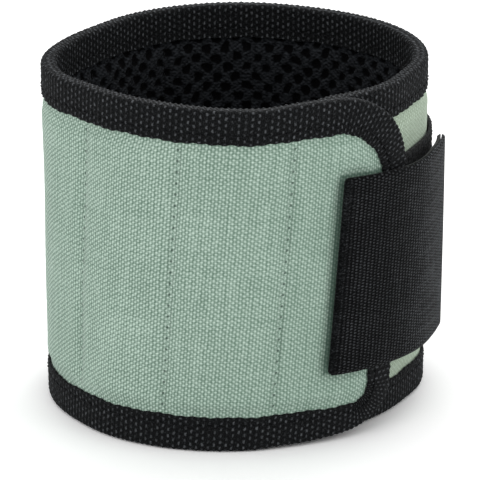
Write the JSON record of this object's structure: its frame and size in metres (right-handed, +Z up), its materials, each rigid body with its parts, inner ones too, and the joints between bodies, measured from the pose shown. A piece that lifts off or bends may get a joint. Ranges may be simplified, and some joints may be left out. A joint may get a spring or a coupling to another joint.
{
  "type": "magnetic wristband",
  "caption": "Padded fabric cuff with bound edges and stitched magnet pockets; its front flap is closed by a hook-and-loop strap.",
  "frame": {"origin": "middle of the base, on the surface that the band stands on", "axes": "+Z up, -Y towards the viewer, +X to the right, where the strap closes"},
  "size_m": [0.1028, 0.1034, 0.089],
  "materials": {
    "canvas": "sage green plain-weave canvas",
    "binding_tape": "charcoal woven edge tape",
    "lining": "black open air mesh",
    "foam": "grey foam padding",
    "magnet": "plated block magnet",
    "loop_pile": "black loop pile",
    "hook_tape": "black hook tape",
    "webbing": "black ribbed webbing"
  },
  "bodies": {
    "back_band": {"back_canvas": "canvas", "back_foam": "foam", "back_mesh_lining": "lining", "magnet_3_1": "magnet", "magnet_3_2": "magnet", "magnet_3_3": "magnet", "magnet_2_1": "magnet", "magnet_2_2": "magnet", "magnet_2_3": "magnet", "magnet_1_1": "magnet", "magnet_1_2": "magnet", "magnet_1_3": "magnet", "back_binding": "binding_tape", "loop_patch": "loop_pile"},
    "left_panel": {"left_canvas": "canvas", "left_foam": "foam", "left_mesh_lining": "lining", "magnet_4_1": "magnet", "magnet_4_2": "magnet", "magnet_4_3": "magnet", "left_top_binding": "binding_tape", "left_bottom_binding": "binding_tape"},
    "middle_panel": {"middle_canvas": "canvas", "middle_foam": "foam", "middle_mesh_lining": "lining", "magnet_5_1": "magnet", "magnet_5_2": "magnet", "magnet_5_3": "magnet", "middle_top_binding": "binding_tape", "middle_bottom_binding": "binding_tape"},
    "flap": {"flap_canvas": "canvas", "flap_foam": "foam", "flap_mesh_lining": "lining", "flap_binding": "binding_tape", "sewn_strap_hook_tape": "hook_tape", "sewn_strap_web": "webbing"},
    "strap": {"strap_hook_tape": "hook_tape", "strap_web": "webbing"}
  },
  "joints": [
    {"name": "left_fold", "type": "hinge", "parent": "back_band", "child": "left_panel", "pos_m": [-0.03941, -0.02933, 0.08863], "axis": [-0.0289, -0.0042, -0.9996], "range_deg": [0, 70]},
    {"name": "middle_fold", "type": "hinge", "parent": "left_panel", "child": "middle_panel", "pos_m": [-0.01575, -0.04678, 0.08861], "axis": [-0.0622, -0.0187, -0.9979], "range_deg": [0, 70]},
    {"name": "flap_fold", "type": "hinge", "parent": "middle_panel", "child": "flap", "pos_m": [0.0139, -0.04626, 0.08878], "axis": [-0.0823, -0.0455, -0.9956], "range_deg": [0, 80]},
    {"name": "strap_peel", "type": "hinge", "parent": "flap", "child": "strap", "pos_m": [0.04433, -0.02669, 0.06809], "axis": [-0.073, -0.0763, -0.9944], "range_deg": [0, 100]}
  ]
}
